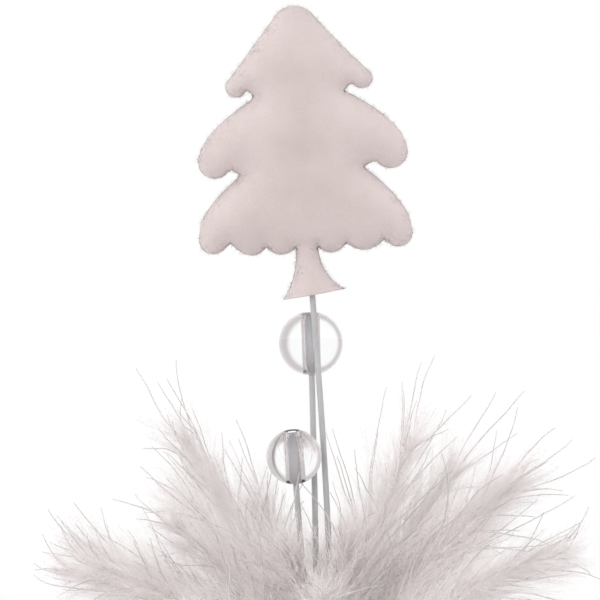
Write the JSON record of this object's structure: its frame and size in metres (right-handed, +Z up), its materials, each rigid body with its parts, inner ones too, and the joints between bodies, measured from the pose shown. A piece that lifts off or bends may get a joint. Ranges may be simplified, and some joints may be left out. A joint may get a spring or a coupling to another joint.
{
  "type": "feather christmas tree pick",
  "caption": "Florist's Christmas pick: padded plush tree and clear beads on wires above a ruff of pale marabou feathers, bound to one stem that is pushed into foam or a vase.",
  "frame": {"origin": "centre of the flat foot of the main stem, the end that is pushed into foam or a vase", "axes": "+Z up the main stem, -Y out of the front face of the tree, +X to the right seen from the front"},
  "size_m": [0.1169, 0.1067, 0.2539],
  "materials": {
    "coated_wire": "satin",
    "binding_steel": "satin",
    "floral_tape": "matte",
    "feather": "matte",
    "plush": "matte",
    "foam": "matte",
    "clear_bead": "gloss",
    "clear_glue": "gloss"
  },
  "bodies": {
    "bouquet": {"main_stem": "coated_wire", "tree_stem_tail": "coated_wire", "tall_bead_stem_tail": "coated_wire", "short_bead_stem_tail": "coated_wire", "binding_wire": "binding_steel", "floral_tape": "floral_tape", "feather_01": "feather", "feather_02": "feather", "feather_03": "feather", "feather_04": "feather", "feather_05": "feather", "feather_06": "feather", "feather_07": "feather", "feather_08": "feather", "feather_09": "feather", "feather_10": "feather", "feather_11": "feather", "feather_12": "feather", "feather_13": "feather", "feather_14": "feather", "feather_15": "feather", "feather_16": "feather", "feather_17": "feather", "feather_18": "feather", "feather_19": "feather", "feather_20": "feather", "feather_21": "feather", "feather_22": "feather", "feather_23": "feather", "feather_24": "feather"},
    "tree_spray": {"tree_stem": "coated_wire", "tree_front_cover": "plush", "tree_back_cover": "plush", "tree_front_foam": "foam", "tree_back_foam": "foam"},
    "tall_bead_spray": {"tall_bead_stem": "coated_wire", "tall_bead": "clear_bead", "tall_bead_glue": "clear_glue"},
    "short_bead_spray": {"short_bead_stem": "coated_wire", "short_bead": "clear_bead", "short_bead_glue": "clear_glue"}
  },
  "joints": [
    {"name": "tree_bend", "type": "hinge", "parent": "bouquet", "child": "tree_spray", "pos_m": [0.00204, -0.00018, 0.10485], "axis": [0, 1, 0], "range_deg": [-8, 8]},
    {"name": "tall_bead_bend", "type": "hinge", "parent": "bouquet", "child": "tall_bead_spray", "pos_m": [-0.00087, 0.00186, 0.10485], "axis": [0, 1, 0], "range_deg": [-8, 8]},
    {"name": "short_bead_bend", "type": "hinge", "parent": "bouquet", "child": "short_bead_spray", "pos_m": [-0.00118, -0.00168, 0.10485], "axis": [0, 1, 0], "range_deg": [-8, 8]}
  ]
}
